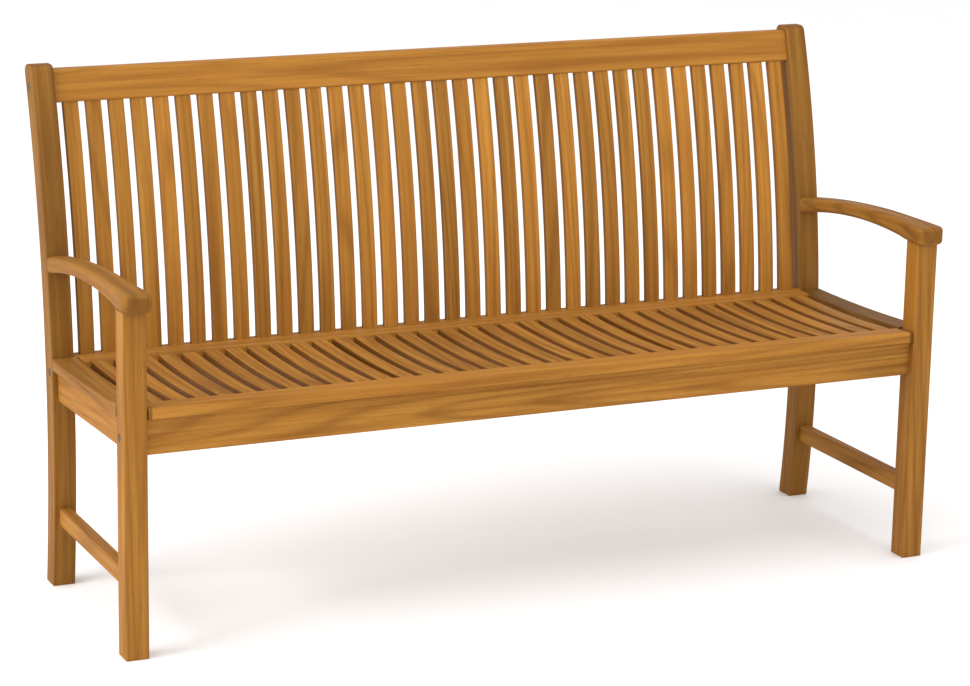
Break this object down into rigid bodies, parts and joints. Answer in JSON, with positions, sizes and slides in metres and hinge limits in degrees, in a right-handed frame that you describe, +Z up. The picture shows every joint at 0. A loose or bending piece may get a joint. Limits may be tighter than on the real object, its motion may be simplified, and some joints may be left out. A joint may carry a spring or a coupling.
{
  "type": "garden bench",
  "caption": "Teak garden bench with arched arms, a dished slatted seat panel and a curved slatted back, for several people to sit on outdoors.",
  "frame": {"origin": "centre of the bounding box at floor level", "axes": "+X along the bench to the right of a person facing its front, -Y front, +Z up"},
  "size_m": [1.53, 0.5484, 0.906],
  "materials": {
    "teak_frame": "oiled teak, satin, grain along each piece",
    "teak_slats": "oiled teak, satin, varied from slat to slat",
    "steel": "plain steel, satin",
    "dowel_wood": "plain hardwood dowel, unfinished"
  },
  "bodies": {
    "root": {"arm_left": "teak_frame", "arm_right": "teak_frame", "back_slat_01": "teak_slats", "back_slat_02": "teak_slats", "back_slat_03": "teak_slats", "back_slat_04": "teak_slats", "back_slat_05": "teak_slats", "back_slat_06": "teak_slats", "back_slat_07": "teak_slats", "back_slat_08": "teak_slats", "back_slat_09": "teak_slats", "back_slat_10": "teak_slats", "back_slat_11": "teak_slats", "back_slat_12": "teak_slats", "back_slat_13": "teak_slats", "back_slat_14": "teak_slats", "back_slat_15": "teak_slats", "back_slat_16": "teak_slats", "back_slat_17": "teak_slats", "back_slat_18": "teak_slats", "back_slat_19": "teak_slats", "back_slat_20": "teak_slats", "back_slat_21": "teak_slats", "back_slat_22": "teak_slats", "back_slat_23": "teak_slats", "back_slat_24": "teak_slats", "back_slat_25": "teak_slats", "back_slat_26": "teak_slats", "back_slat_27": "teak_slats", "back_slat_28": "teak_slats", "back_slat_29": "teak_slats", "back_slat_30": "teak_slats", "back_slat_31": "teak_slats", "back_slat_32": "teak_slats", "back_slat_33": "teak_slats", "back_slat_34": "teak_slats", "back_slat_35": "teak_slats", "barrel_nuts": "steel", "bolt_washers": "steel", "crest_rail": "teak_frame", "frame_bolts": "steel", "frame_dowels": "dowel_wood", "front_apron": "teak_frame", "front_leg_left": "teak_frame", "front_leg_right": "teak_frame", "lower_back_rail": "teak_frame", "rear_post_left": "teak_frame", "rear_post_right": "teak_frame", "seat_bearer_left": "teak_frame", "seat_bearer_right": "teak_frame", "seat_end_rail_left": "teak_frame", "seat_end_rail_right": "teak_frame", "seat_front_rail": "teak_frame", "seat_panel_screws": "steel", "seat_rear_rail": "teak_frame", "seat_slats": "teak_slats", "side_apron_left": "teak_frame", "side_apron_right": "teak_frame", "side_stretcher_left": "teak_frame", "side_stretcher_right": "teak_frame"}
  },
  "joints": []
}
